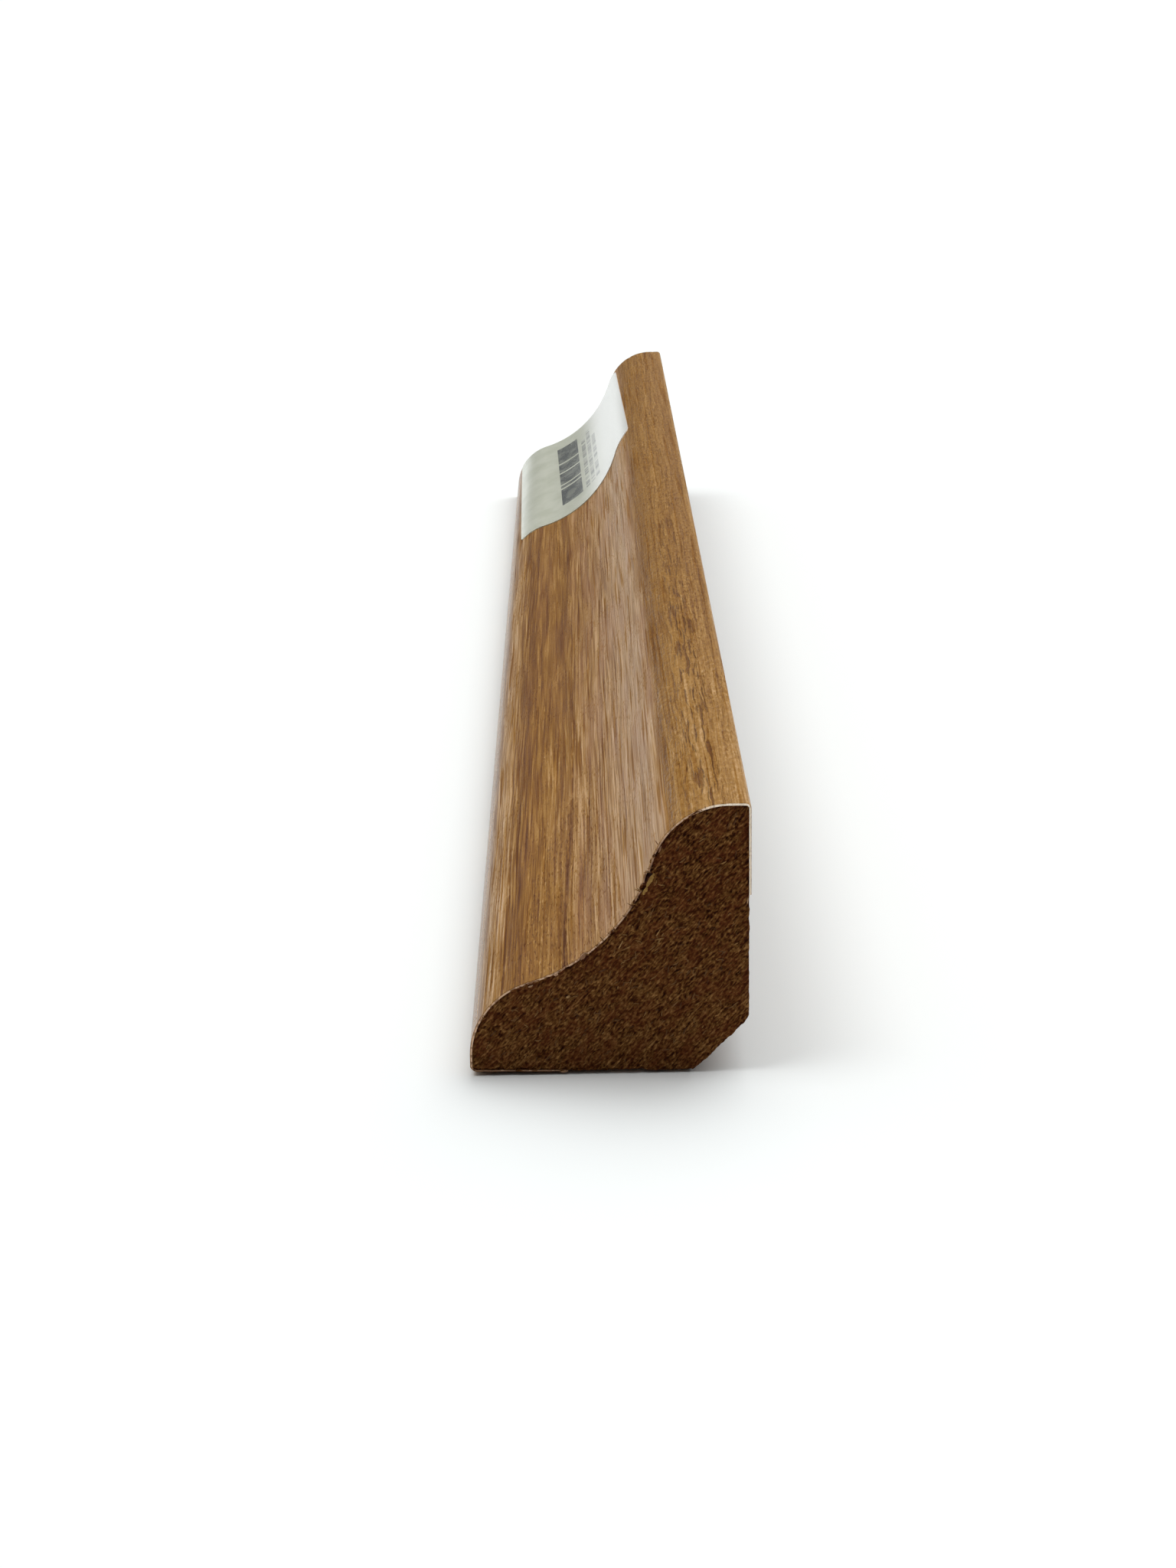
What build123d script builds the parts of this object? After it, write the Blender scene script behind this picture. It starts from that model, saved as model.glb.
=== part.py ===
from build123d import *
import os
from math import atan2, degrees, sqrt

# A short cut length of scotia moulding: a fibreboard bar, a printed foil wrapped
# round its show face, and a paper sticker pressed into the hollow at the far end.
# Millimetres. X runs from the toe to the back, Y along the moulding from the near
# sawn end to the far one, and Z up. The origin is the middle of the underside.

# Overall size, over the foil
WIDTH = 19.0
HEIGHT = 19.0
LENGTH = 200.0

# Show face: an upright toe, a round nose, a hollow, a second nose and a flat top
TOE_HEIGHT = 1.4
LOWER_NOSE_RADIUS = 5.5
HOLLOW_RADIUS = 12.5
UPPER_NOSE_RADIUS = 5.5
TOP_LAND = 1.4

# Corners of the bar under the foil, at the foot of the toe and at the top of the back
TOE_CORNER_RADIUS = 0.4
TOP_CORNER_RADIUS = 0.25

# Heel: the corner between the back and the underside, cut off at 45 degrees
HEEL_CUT = 3.9
HEEL_BACK_RADIUS = 0.8
HEEL_UNDER_RADIUS = 0.3

# Foil, with the laps that it makes under the toe and down the back
FOIL_THICKNESS = 0.15
UNDER_LAP = 6.5
BACK_LAP = 6.4

# Sticker, whose place and width are measured round the foil
STICKER_FROM_TOE_CORNER = 4.15
STICKER_WIDTH = 18.5
STICKER_LENGTH = 51.0
STICKER_FROM_END = 0.4
STICKER_THICKNESS = 0.1

TOE_X = -WIDTH / 2
BACK_X = WIDTH / 2
NEAR_Y = -LENGTH / 2
FAR_Y = LENGTH / 2


def hollow_centre(low, high):
    """The centre of the hollow, which touches both noses from outside."""
    low_reach = HOLLOW_RADIUS + LOWER_NOSE_RADIUS
    high_reach = HOLLOW_RADIUS + UPPER_NOSE_RADIUS
    between = high - low
    along = (between.length**2 + low_reach**2 - high_reach**2) / (2 * between.length)
    across = sqrt(low_reach**2 - along**2)
    unit = between.normalized()
    return low + unit * along + Vector(-unit.Y, unit.X) * across


def bearing(start, end):
    """The direction from start to end, in degrees."""
    return degrees(atan2(end.Y - start.Y, end.X - start.X))


def arc(centre, radius, from_angle, to_angle):
    return CenterArc(centre, radius, from_angle, to_angle - from_angle)


def face_arcs(depth):
    """Lower nose, hollow and upper nose, at a depth under the foil's surface."""
    low = Vector(TOE_X + LOWER_NOSE_RADIUS, TOE_HEIGHT)
    high = Vector(BACK_X - TOP_LAND, HEIGHT - UPPER_NOSE_RADIUS)
    hollow = hollow_centre(low, high)
    low_join = bearing(low, hollow)
    high_join = bearing(high, hollow)
    return [
        arc(low, LOWER_NOSE_RADIUS - depth, 180, low_join),
        arc(hollow, HOLLOW_RADIUS + depth, low_join - 180, high_join - 180),
        arc(high, UPPER_NOSE_RADIUS - depth, high_join, 90),
    ]


def under_lap(depth):
    """The lap under the toe, with the corner at its foot."""
    radius = TOE_CORNER_RADIUS + FOIL_THICKNESS
    centre = Vector(TOE_X + radius, radius)
    flat = Line((TOE_X + UNDER_LAP, depth), (centre.X, depth))
    return [flat, arc(centre, radius - depth, 270, 180)]


def back_lap(depth):
    """The corner at the top of the back, with the lap below it."""
    radius = TOP_CORNER_RADIUS + FOIL_THICKNESS
    centre = Vector(BACK_X - radius, HEIGHT - radius)
    flat = Line((BACK_X - depth, centre.Y), (BACK_X - depth, HEIGHT - BACK_LAP))
    return [arc(centre, radius - depth, 90, 0), flat]


def show_face(depth):
    """From the foot of the toe round to the start of the lap down the back."""
    arcs = face_arcs(depth)
    corner = back_lap(depth)
    toe = Line(under_lap(depth)[-1] @ 1, arcs[0] @ 0)
    land = Line(arcs[-1] @ 1, corner[0] @ 0)
    return [toe, *arcs, land]


def foil_line(depth):
    return under_lap(depth) + show_face(depth) + back_lap(depth)


def core_section():
    """The bar's section: the foil's inner line, closed by the bare back and heel."""
    line = foil_line(FOIL_THICKNESS)
    heel_back = Vector(BACK_X - FOIL_THICKNESS, HEEL_CUT)
    heel_under = Vector(BACK_X - HEEL_CUT, FOIL_THICKNESS)
    bare = Polyline(line[-1] @ 1, heel_back, heel_under, line[0] @ 0)
    section = make_face([*line, bare])
    for corner, radius in ((heel_back, HEEL_BACK_RADIUS), (heel_under, HEEL_UNDER_RADIUS)):
        nearest = section.vertices().sort_by_distance(corner)[0]
        section = fillet(nearest, radius)
    return section


def foil_section():
    outer = foil_line(0)
    inner = foil_line(FOIL_THICKNESS)
    under_edge = Line(outer[0] @ 0, inner[0] @ 0)
    back_edge = Line(outer[-1] @ 1, inner[-1] @ 1)
    return make_face([*outer, *inner, under_edge, back_edge])


def sticker_section():
    """A strip on the foil, part of the way round from the toe to the back."""
    line = Wire(show_face(0) + back_lap(0))
    start = STICKER_FROM_TOE_CORNER / line.length
    end = (STICKER_FROM_TOE_CORNER + STICKER_WIDTH) / line.length
    pressed = line.trim(start, end)
    return Face(pressed.offset_2d(STICKER_THICKNESS, side=Side.LEFT))


def run_along(section, near_y, far_y):
    """A section drawn in X and Z, as a bar from near_y to far_y."""
    far_plane = Plane(origin=(0, far_y, 0), x_dir=(1, 0, 0), z_dir=(0, -1, 0))
    return extrude(far_plane * section, amount=far_y - near_y)


def fibreboard_core():
    return run_along(core_section(), NEAR_Y, FAR_Y)


def foil_wrap():
    return run_along(foil_section(), NEAR_Y, FAR_Y)


def paper_sticker():
    far_y = FAR_Y - STICKER_FROM_END
    return run_along(sticker_section(), far_y - STICKER_LENGTH, far_y)


def main():
    os.makedirs("parts", exist_ok=True)
    for piece in (fibreboard_core, foil_wrap, paper_sticker):
        export_step(piece(), f"parts/{piece.__name__}.step")


main()
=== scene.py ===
import random
from math import atan2, cos, degrees, radians, sin, sqrt, tan

import bpy
import numpy as np
from mathutils import Matrix, Vector, noise
from mathutils.geometry import delaunay_2d_cdt


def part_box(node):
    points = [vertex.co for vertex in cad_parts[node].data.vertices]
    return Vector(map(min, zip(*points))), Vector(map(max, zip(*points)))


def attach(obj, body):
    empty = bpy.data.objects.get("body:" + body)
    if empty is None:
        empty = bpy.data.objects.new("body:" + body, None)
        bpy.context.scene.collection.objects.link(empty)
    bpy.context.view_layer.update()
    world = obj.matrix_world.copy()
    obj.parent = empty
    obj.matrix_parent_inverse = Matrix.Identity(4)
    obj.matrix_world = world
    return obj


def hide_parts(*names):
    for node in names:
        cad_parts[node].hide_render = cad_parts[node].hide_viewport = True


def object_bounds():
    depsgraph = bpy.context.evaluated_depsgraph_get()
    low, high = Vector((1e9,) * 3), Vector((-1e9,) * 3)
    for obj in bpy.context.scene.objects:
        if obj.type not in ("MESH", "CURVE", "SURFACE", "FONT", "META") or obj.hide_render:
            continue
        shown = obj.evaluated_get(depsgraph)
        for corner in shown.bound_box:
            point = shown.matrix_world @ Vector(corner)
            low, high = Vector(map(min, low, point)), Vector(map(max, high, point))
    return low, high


# A short cut length of foil-wrapped scotia moulding with a paper sticker at its far end.
# Fine meshes take the place of the plain solids, so that the sawn ends have torn foil,
# matted board and loose fibres. A length "round" the bar runs from the floor up the toe.

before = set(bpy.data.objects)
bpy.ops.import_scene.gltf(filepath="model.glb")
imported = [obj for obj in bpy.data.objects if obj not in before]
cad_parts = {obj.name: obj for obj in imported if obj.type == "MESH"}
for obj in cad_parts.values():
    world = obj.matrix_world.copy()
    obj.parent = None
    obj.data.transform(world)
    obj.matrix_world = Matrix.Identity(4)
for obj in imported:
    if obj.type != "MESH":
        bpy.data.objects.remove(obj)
cad_low, cad_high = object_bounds()
core_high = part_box("fibreboard_core")[1]
sticker_low, sticker_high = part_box("paper_sticker")

MM = 0.001

# The section over the foil, in the sizes that the solids have
TOE_HEIGHT = 1.4 * MM
NOSE_RADIUS = 5.5 * MM
HOLLOW_RADIUS = 12.5 * MM
TOP_LAND = 1.4 * MM
TOE_CORNER_RADIUS = 0.55 * MM
TOP_CORNER_RADIUS = 0.4 * MM
HEEL_CUT = 3.9 * MM
HEEL_BACK_RADIUS = 0.8 * MM
HEEL_UNDER_RADIUS = 0.3 * MM
UNDER_LAP = 6.5 * MM
BACK_LAP = 6.4 * MM
STICKER_FROM_TOE_CORNER = 4.15 * MM
STICKER_WIDTH = 18.5 * MM
STICKER_THICKNESS = 0.1 * MM

# What the frame gives
TOE_X, NEAR_Y = cad_low.x, cad_low.y
BACK_X, FAR_Y, HEIGHT = cad_high.x, cad_high.y, cad_high.z
FOIL_THICKNESS = BACK_X - core_high.x

# Mesh steps, counts and seeds
SECTION_STEP = 0.1 * MM
GRAIN_STEP = 0.095 * MM
END_STEPS = (0, 0.06 * MM, 0.15 * MM, 0.3 * MM, 0.6 * MM, 1.2 * MM, 2.4 * MM, 4 * MM)
CORE_STEPS = (1.6 * MM, 2.6 * MM, 4 * MM)
CORE_MIDDLE_FROM_END = 12 * MM
CORE_MIDDLE_RINGS = 12
FOIL_ROWS = 24
STICKER_COLUMNS = 170
STICKER_ROWS = 60
SEARCH_BLOCKS = 60
INSIDE_ONLY = 1
SAME_PLACE = 1e-7
FACE_SEED = 4
LOOSE_SEED = 11

# Sawn ends, which lie inside the cut by MEAN_RELIEF times SAW_RELIEF on average
NEAR_END, FAR_END = 0, 1
SAW_RELIEF = 0.22 * MM
MEAN_RELIEF = 0.4
FIBRE_SLANT = radians(48)
EDGE_CRUMBLE = 0.12 * MM
CRUMBLE_WIDTH = 0.25 * MM
CRACK_DEPTH = 0.12 * MM
CRACK_WIDTH = 0.15 * MM
BARE_FRAY = 0.03 * MM
FRAY = 0.08 * MM
HOLLOW_FRAY = 0.22 * MM
TUFT_REACH = 0.05 * MM
LEAST_KEPT = 0.05
FOIL_RAG = 0.07 * MM
FOIL_BEVEL = 0.07 * MM
DEEP_CHIP = 0.3 * MM
CHIP_SETBACK = 0.04 * MM

# Stretches round the bar in millimetres: start, end, and how softly each begins and ends
WRAPPED = (-6.5, 26, 1)
BEVELLED_TOP = (25.5, 40, 2)
CRACKED_HOLLOW = (12, 25, 2)
CRACKED_NOTCH = (17.6, 20.8, 1)
FRAYED_HOLLOW = (12.5, 26, 3)
FRAYED_NOTCH = (18, 23, 2)

# The length round that stands for the bare sides, in millimetres
OFF_FOIL = -99.0

# The foot of the near end stands a little off the floor, most at the toe
END_LIFT = 0.3 * MM
HEEL_LIFT = 0.06 * MM
LIFT_REACH = 16 * MM
LIFT_HEIGHT = 1.2 * MM
HEEL_BLEND = 2 * MM


# Section

def straight(start, end):
    """Points along a straight run, with the outside on its left."""
    start, end = np.array(start), np.array(end)
    run = end - start
    length = np.hypot(*run)
    count = max(2, round(length / SECTION_STEP))
    points = start + np.linspace(0, 1, count, endpoint=False)[:, None] * run
    normal = np.array([-run[1], run[0]]) / length
    return points, np.tile(normal, (count, 1))


def rounded(centre, radius, start, end):
    """Points along an arc from one angle to another. An arc that turns left is hollow."""
    count = max(6, round(radius * abs(radians(end - start)) / SECTION_STEP))
    angles = np.radians(np.linspace(start, end, count, endpoint=False))
    spokes = np.stack([np.cos(angles), np.sin(angles)], 1)
    outward = spokes if end < start else -spokes
    return np.array(centre) + radius * spokes, outward


def on_ring(centre, radius, angle):
    return centre[0] + radius * cos(radians(angle)), centre[1] + radius * sin(radians(angle))


def foil_section():
    """The foil's outer line from the lap under the toe to the lap down the back.

    Gives its points, their outward normals and their lengths round the foil."""
    low = (TOE_X + NOSE_RADIUS, TOE_HEIGHT)
    high = (BACK_X - TOP_LAND, HEIGHT - NOSE_RADIUS)
    between = Vector(high) - Vector(low)
    rise = sqrt((HOLLOW_RADIUS + NOSE_RADIUS)**2 - between.length_squared / 4)
    hollow = (Vector(low) + Vector(high)) / 2 + between.normalized().orthogonal() * rise
    low_join = degrees(atan2(hollow.y - low[1], hollow.x - low[0]))
    high_join = degrees(atan2(hollow.y - high[1], hollow.x - high[0]))
    toe_corner = (TOE_X + TOE_CORNER_RADIUS, TOE_CORNER_RADIUS)
    top_corner = (BACK_X - TOP_CORNER_RADIUS, HEIGHT - TOP_CORNER_RADIUS)
    under = [
        straight((TOE_X + UNDER_LAP, 0), (toe_corner[0], 0)),
        rounded(toe_corner, TOE_CORNER_RADIUS, 270, 180),
    ]
    face = [
        straight((TOE_X, toe_corner[1]), (TOE_X, TOE_HEIGHT)),
        rounded(low, NOSE_RADIUS, 180, low_join),
        rounded(hollow, HOLLOW_RADIUS, low_join - 180, high_join - 180),
        rounded(high, NOSE_RADIUS, high_join, 90),
        straight((high[0], HEIGHT), (top_corner[0], HEIGHT)),
        rounded(top_corner, TOP_CORNER_RADIUS, 90, 0),
        straight((BACK_X, top_corner[1]), (BACK_X, HEIGHT - BACK_LAP)),
    ]
    points = np.concatenate([run[0] for run in under + face] + [[(BACK_X, HEIGHT - BACK_LAP)]])
    normals = np.concatenate([run[1] for run in under + face] + [[(1, 0)]])
    lengths = np.concatenate([[0], np.cumsum(np.hypot(*np.diff(points, axis=0).T))])
    foot = sum(len(run[0]) for run in under)
    return points, normals, lengths - lengths[foot] + TOE_CORNER_RADIUS


POINTS, NORMALS, ROUND = foil_section()


def on_section(lengths, depth):
    """The X and Z of places at lengths round the foil and a depth under it."""
    axes = []
    for k in (0, 1):
        point = np.interp(lengths, ROUND, POINTS[:, k])
        normal = np.interp(lengths, ROUND, NORMALS[:, k])
        axes.append(point - depth * normal)
    return np.stack(axes, -1)


def core_outline():
    """The bare bar's outline: under the foil, then down the back, the heel and the underside."""
    wrapped = POINTS - NORMALS * FOIL_THICKNESS
    back = BACK_X - FOIL_THICKNESS
    reach = tan(radians(22.5))
    upper = (back - HEEL_BACK_RADIUS, HEEL_CUT + HEEL_BACK_RADIUS * reach)
    lower = (BACK_X - HEEL_CUT - HEEL_UNDER_RADIUS * reach, FOIL_THICKNESS + HEEL_UNDER_RADIUS)
    heel_top = on_ring(upper, HEEL_BACK_RADIUS, -45)
    heel_foot = on_ring(lower, HEEL_UNDER_RADIUS, -45)
    runs = [
        straight((back, HEIGHT - BACK_LAP), (back, upper[1])),
        rounded(upper, HEEL_BACK_RADIUS, 0, -45),
        straight(heel_top, heel_foot),
        rounded(lower, HEEL_UNDER_RADIUS, -45, -90),
        straight((lower[0], FOIL_THICKNESS), wrapped[0]),
    ]
    return np.concatenate([wrapped[:-1]] + [run[0] for run in runs])


# Mesh helpers

def ripple(*place):
    """Smooth noise from -1 to 1 that is the same on every run."""
    return noise.noise(Vector(place))


def window(value, start, end, blend):
    """1 between start and end, and 0 outside them."""
    return float(np.clip(min(value - start, end - value) / blend + 0.5, 0, 1))


def lifted(points):
    """Raises the foot of the near end a little, and keeps the heel's slope."""
    near = np.clip(1 - (points[:, 1] - NEAR_Y) / LIFT_REACH, 0, 1)
    low = np.clip(1 - points[:, 2] / LIFT_HEIGHT, 0, 1)
    heel_x = BACK_X - HEEL_CUT
    rise = np.interp(points[:, 0], (TOE_X, heel_x), (END_LIFT, HEEL_LIFT)) * near**2 * low
    on_heel = np.clip(1 + (points[:, 0] - heel_x) / HEEL_BLEND, 0, 1)
    points[:, 0] += rise * on_heel
    points[:, 2] += rise
    return points


def quads(index):
    """The faces between the rows and columns of a grid of vertex numbers."""
    corners = (index[:-1, :-1], index[:-1, 1:], index[1:, 1:], index[1:, :-1])
    return np.stack([c.ravel() for c in corners], 1)


def add_number(mesh, name, values):
    attribute = mesh.attributes.new(name, "FLOAT", "POINT")
    attribute.data.foreach_set("value", np.asarray(values, np.float32))


def add_vector(mesh, name, values):
    attribute = mesh.attributes.new(name, "FLOAT_VECTOR", "POINT")
    attribute.data.foreach_set("vector", np.asarray(values, np.float32).ravel())


def make_mesh(name, points, faces, sharp_angle=50):
    mesh = bpy.data.meshes.new(name)
    mesh.from_pydata(np.asarray(points).tolist(), [], faces)
    mesh.polygons.foreach_set("use_smooth", np.ones(len(mesh.polygons), bool))
    mesh.set_sharp_from_angle(angle=radians(sharp_angle))
    mesh.update()
    return mesh


def thin_sheet(name, lengths, outer_y, inner_y, lift, thickness):
    """A closed thin sheet on the foil, from grids of length round the bar and of Y.

    lift is how far its outer side stands off the foil's line."""
    layers = []
    for depth, stations in ((-lift, outer_y), (thickness - lift, inner_y)):
        place = on_section(lengths, depth)
        layers.append(np.stack([place[..., 0], stations, place[..., 1]], -1).reshape(-1, 3))
    index = np.arange(lengths.size).reshape(lengths.shape)
    rim = np.concatenate([index[0], index[1:, -1], index[-1, -2::-1], index[-2:0:-1, 0]])
    after = np.roll(rim, -1)
    edge = np.stack([after, rim, rim + lengths.size, after + lengths.size], 1)
    faces = np.concatenate([quads(index), quads(index + lengths.size)[:, ::-1], edge])
    mesh = make_mesh(name, lifted(np.concatenate(layers)), faces.tolist())
    place = np.stack([lengths, outer_y, np.zeros_like(lengths)], -1).reshape(-1, 3)
    below = place + np.array([0, 0, thickness])
    add_vector(mesh, "wrap", np.concatenate([place, below]) / MM)
    return mesh


# Chips out of the cut edges: length round, half width and depth, in millimetres
NEAR_CHIPS = (
    (19.6, 0.5, 1.0), (18.9, 0.25, 0.3), (17.7, 0.3, 0.12), (20.5, 0.3, 0.12),
    (21.4, 0.25, 0.14), (12.7, 0.35, 0.5), (11.3, 0.2, 0.2), (15.2, 0.25, 0.12),
    (9.9, 0.15, 0.12), (25.1, 0.3, 0.07), (3.6, 0.3, 0.1), (-3.0, 0.3, 0.12),
)
FAR_CHIPS = ((3.1, 0.4, 0.15), (9.5, 0.3, 0.1), (25.1, 0.3, 0.25), (28.3, 0.2, 0.12))


def chipped(length, end):
    """How deep the chips are at a length round the bar."""
    depth = 0.0
    for centre, half_width, deepest in (NEAR_CHIPS, FAR_CHIPS)[end]:
        away = abs(length / MM - centre) / half_width
        depth = max(depth, deepest * MM * (1 - away**3))
    return depth


# Foil

def ragged_edge(length, end):
    """How far the foil stops short of the cut, at a length round the bar."""
    coarse = ripple(length / (1.4 * MM), 3.7, 11.0 + end)
    fine = ripple(length / (0.33 * MM), 8.1, 5.0 + end)
    short = FOIL_RAG * max(0.0, 0.4 + 0.7 * coarse + 0.9 * fine)
    torn = 1 + 0.35 * ripple(length / (0.12 * MM), 2.2, 1.0 + end)
    return max(short, torn * chipped(length, end))


def bevelled(length):
    """The share of the bevel that the foil's near edge has: most at the top."""
    worn = ripple(length / (0.5 * MM), 1.3, 17.0)
    return 0.6 + 0.9 * worn + 1.3 * window(length / MM, *BEVELLED_TOP)


def end_rows(count):
    """Fractions from 0 to 1, crowded at both ends."""
    fine = np.array(END_STEPS) / (FAR_Y - NEAR_Y)
    middle = np.linspace(0, 1, count)
    middle = middle[(middle > fine[-1]) & (middle < 1 - fine[-1])]
    return np.unique(np.concatenate([fine, middle, 1 - fine]))


def foil_mesh():
    rows = end_rows(FOIL_ROWS)[:, None]
    near = np.array([NEAR_Y + ragged_edge(length, NEAR_END) for length in ROUND])
    far = np.array([FAR_Y - ragged_edge(length, FAR_END) for length in ROUND])
    bevel = FOIL_BEVEL * np.array([bevelled(length) for length in ROUND])
    inner = near + rows * (far - near)
    outer = near + bevel + rows * (far - near - bevel)
    return thin_sheet("foil", np.tile(ROUND, (len(rows), 1)), outer, inner, 0.0, FOIL_THICKNESS)


# Sticker

STICKER_SKEW = radians(1.3)
STICKER_CLEAR_OF_END = 0.02 * MM
TOE_SIDE_CORNER = 0.9 * MM
BACK_SIDE_CORNER = 2.6 * MM


def sticker_mesh():
    """The sticker, put on slightly askew, with rounded corners."""
    near, far = sticker_low.y, sticker_high.y
    across = np.linspace(0, STICKER_WIDTH, STICKER_COLUMNS)
    along = np.linspace(0, 1, STICKER_ROWS)
    round_off = np.zeros(len(across))
    for radius, from_side in ((TOE_SIDE_CORNER, across), (BACK_SIDE_CORNER, STICKER_WIDTH - across)):
        into = np.clip(radius - from_side, 0, radius)
        round_off += radius - np.sqrt(radius**2 - into**2)
    length = far - near
    local_y = round_off + along[:, None] * (length - 2 * round_off)
    local_s = np.tile(across, (len(along), 1))
    turn = tan(STICKER_SKEW)
    first = TOE_CORNER_RADIUS + STICKER_FROM_TOE_CORNER
    lengths = first + local_s - (local_y - length / 2) * turn
    stations = near + local_y + (local_s - STICKER_WIDTH / 2) * turn
    stations = np.minimum(stations, FAR_Y - STICKER_CLEAR_OF_END)
    mesh = thin_sheet("sticker", lengths, stations, stations, STICKER_THICKNESS, STICKER_THICKNESS)
    printed = np.stack([local_s, local_y, np.zeros_like(local_s)], -1).reshape(-1, 3)
    add_vector(mesh, "printed", np.concatenate([printed, printed]) / MM)
    return mesh


# Fibreboard

def saw_depth(x, z, edge, round_mm, end):
    """How far the sawn face lies inside the cut, by the distance to its outline."""
    along = x * cos(FIBRE_SLANT) + z * sin(FIBRE_SLANT)
    across = z * cos(FIBRE_SLANT) - x * sin(FIBRE_SLANT)
    clumps = ripple(along / (1.3 * MM), across / (0.6 * MM), 21.0 + end)
    strands = ripple(along / (0.6 * MM), across / (0.24 * MM), 31.0 + end)
    pits = ripple(x / (0.2 * MM), z / (0.2 * MM), 41.0 + end)
    crumbs = ripple(x / (0.5 * MM), z / (0.5 * MM), 51.0 + end)
    relief = SAW_RELIEF * max(0.0, MEAN_RELIEF + 0.2 * clumps + 0.55 * strands + 0.6 * pits)
    crumble = EDGE_CRUMBLE * max(0.0, 1 - edge / CRUMBLE_WIDTH) * max(0.0, 0.6 + crumbs)
    cracked = 0.3 * window(round_mm, *CRACKED_HOLLOW) + 0.7 * window(round_mm, *CRACKED_NOTCH)
    cracked *= float(np.clip(0.4 + 1.8 * ripple(round_mm / 0.9, 6.1, 61.0 + end), 0, 1))
    crack = CRACK_DEPTH * cracked * max(0.0, 1 - edge / CRACK_WIDTH)
    hole = chipped(round_mm * MM, end) * max(0.0, 1 - edge / (2 * CRACK_WIDTH))
    return relief + crumble + max(crack, hole)


def fray(length, end):
    """How far the board's sawn edge stands out over the foil's cut edge."""
    if chipped(length, end) > DEEP_CHIP:
        return -CHIP_SETBACK
    tufts = ripple(length / (0.7 * MM), 4.4, 71.0 + end)
    wisps = ripple(length / (0.23 * MM), 9.2, 81.0 + end)
    rough = 0.45 * window(length / MM, *FRAYED_HOLLOW) + 0.55 * window(length / MM, *FRAYED_NOTCH)
    wrapped = window(length / MM, *WRAPPED)
    reach = BARE_FRAY + (FRAY - BARE_FRAY) * wrapped + (HOLLOW_FRAY - FRAY) * rough
    return reach * float(np.clip(2 * tufts + (0.6 + 1.4 * rough) * wisps, -0.4, 1))


def nearest(points, outline):
    """Each point's distance to the closest of the outline's points, and that point's number."""
    found = []
    for block in np.array_split(points, SEARCH_BLOCKS):
        gaps = np.hypot(*(block[:, None] - outline[None]).transpose(2, 0, 1))
        found.append(np.stack([gaps.min(1), gaps.argmin(1)]))
    distance, number = np.concatenate(found, 1)
    return distance, number.astype(int)


def sawn_face(outline):
    """The sawn face in X and Z: points, distances to the outline, lengths round, triangles."""
    shift = random.Random(FACE_SEED)
    low, high = outline.min(0), outline.max(0)
    row_step = GRAIN_STEP * sqrt(3) / 2
    inside = []
    for row in range(int((high[1] - low[1]) / row_step) + 1):
        for column in range(int((high[0] - low[0]) / GRAIN_STEP) + 1):
            x = low[0] + (column + row % 2 / 2 + shift.uniform(-0.3, 0.3)) * GRAIN_STEP
            z = low[1] + (row + shift.uniform(-0.3, 0.3)) * row_step
            inside.append((x, z))
    inside = np.array(inside)
    inside = inside[nearest(inside, outline)[0] > 0.5 * SECTION_STEP]
    count = len(outline)
    border = [(k, (k + 1) % count) for k in range(count)]
    places = [Vector(p) for p in np.concatenate([outline, inside]) / MM]
    found = delaunay_2d_cdt(places, border, [list(range(count))], INSIDE_ONLY, SAME_PLACE)
    used, triangles = np.unique(np.array(found[2]), return_inverse=True)
    points = np.array([tuple(found[0][k]) for k in used]) * MM
    edge, number = nearest(points, outline)
    round_mm = np.append(ROUND / MM, np.full(count, OFF_FOIL))[number]
    return points, edge, round_mm, triangles.reshape(-1, 3)


FACE_POINTS, FACE_EDGE, FACE_ROUND, FACE_TRIANGLES = sawn_face(core_outline())


def frayed(outline, border, end):
    """Moves the points on the sawn face's outline in and out a little.

    Gives all its points, and the share of its depth that each keeps."""
    along = np.roll(outline, -1, 0) - np.roll(outline, 1, 0)
    outward = np.stack([-along[:, 1], along[:, 0]], 1) / np.hypot(*along.T)[:, None]
    lengths = np.append(ROUND, ROUND[-1] + SECTION_STEP * np.arange(1, len(outline)))
    reach = np.array([fray(length, end) for length in lengths[:len(outline)]])
    points = FACE_POINTS.copy()
    points[border] += outward * reach[:, None]
    kept = np.ones(len(points))
    kept[border] = np.clip(1 - reach / TUFT_REACH, LEAST_KEPT, 1)
    return np.clip(points, (TOE_X, 0), (BACK_X, HEIGHT)), kept


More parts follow.
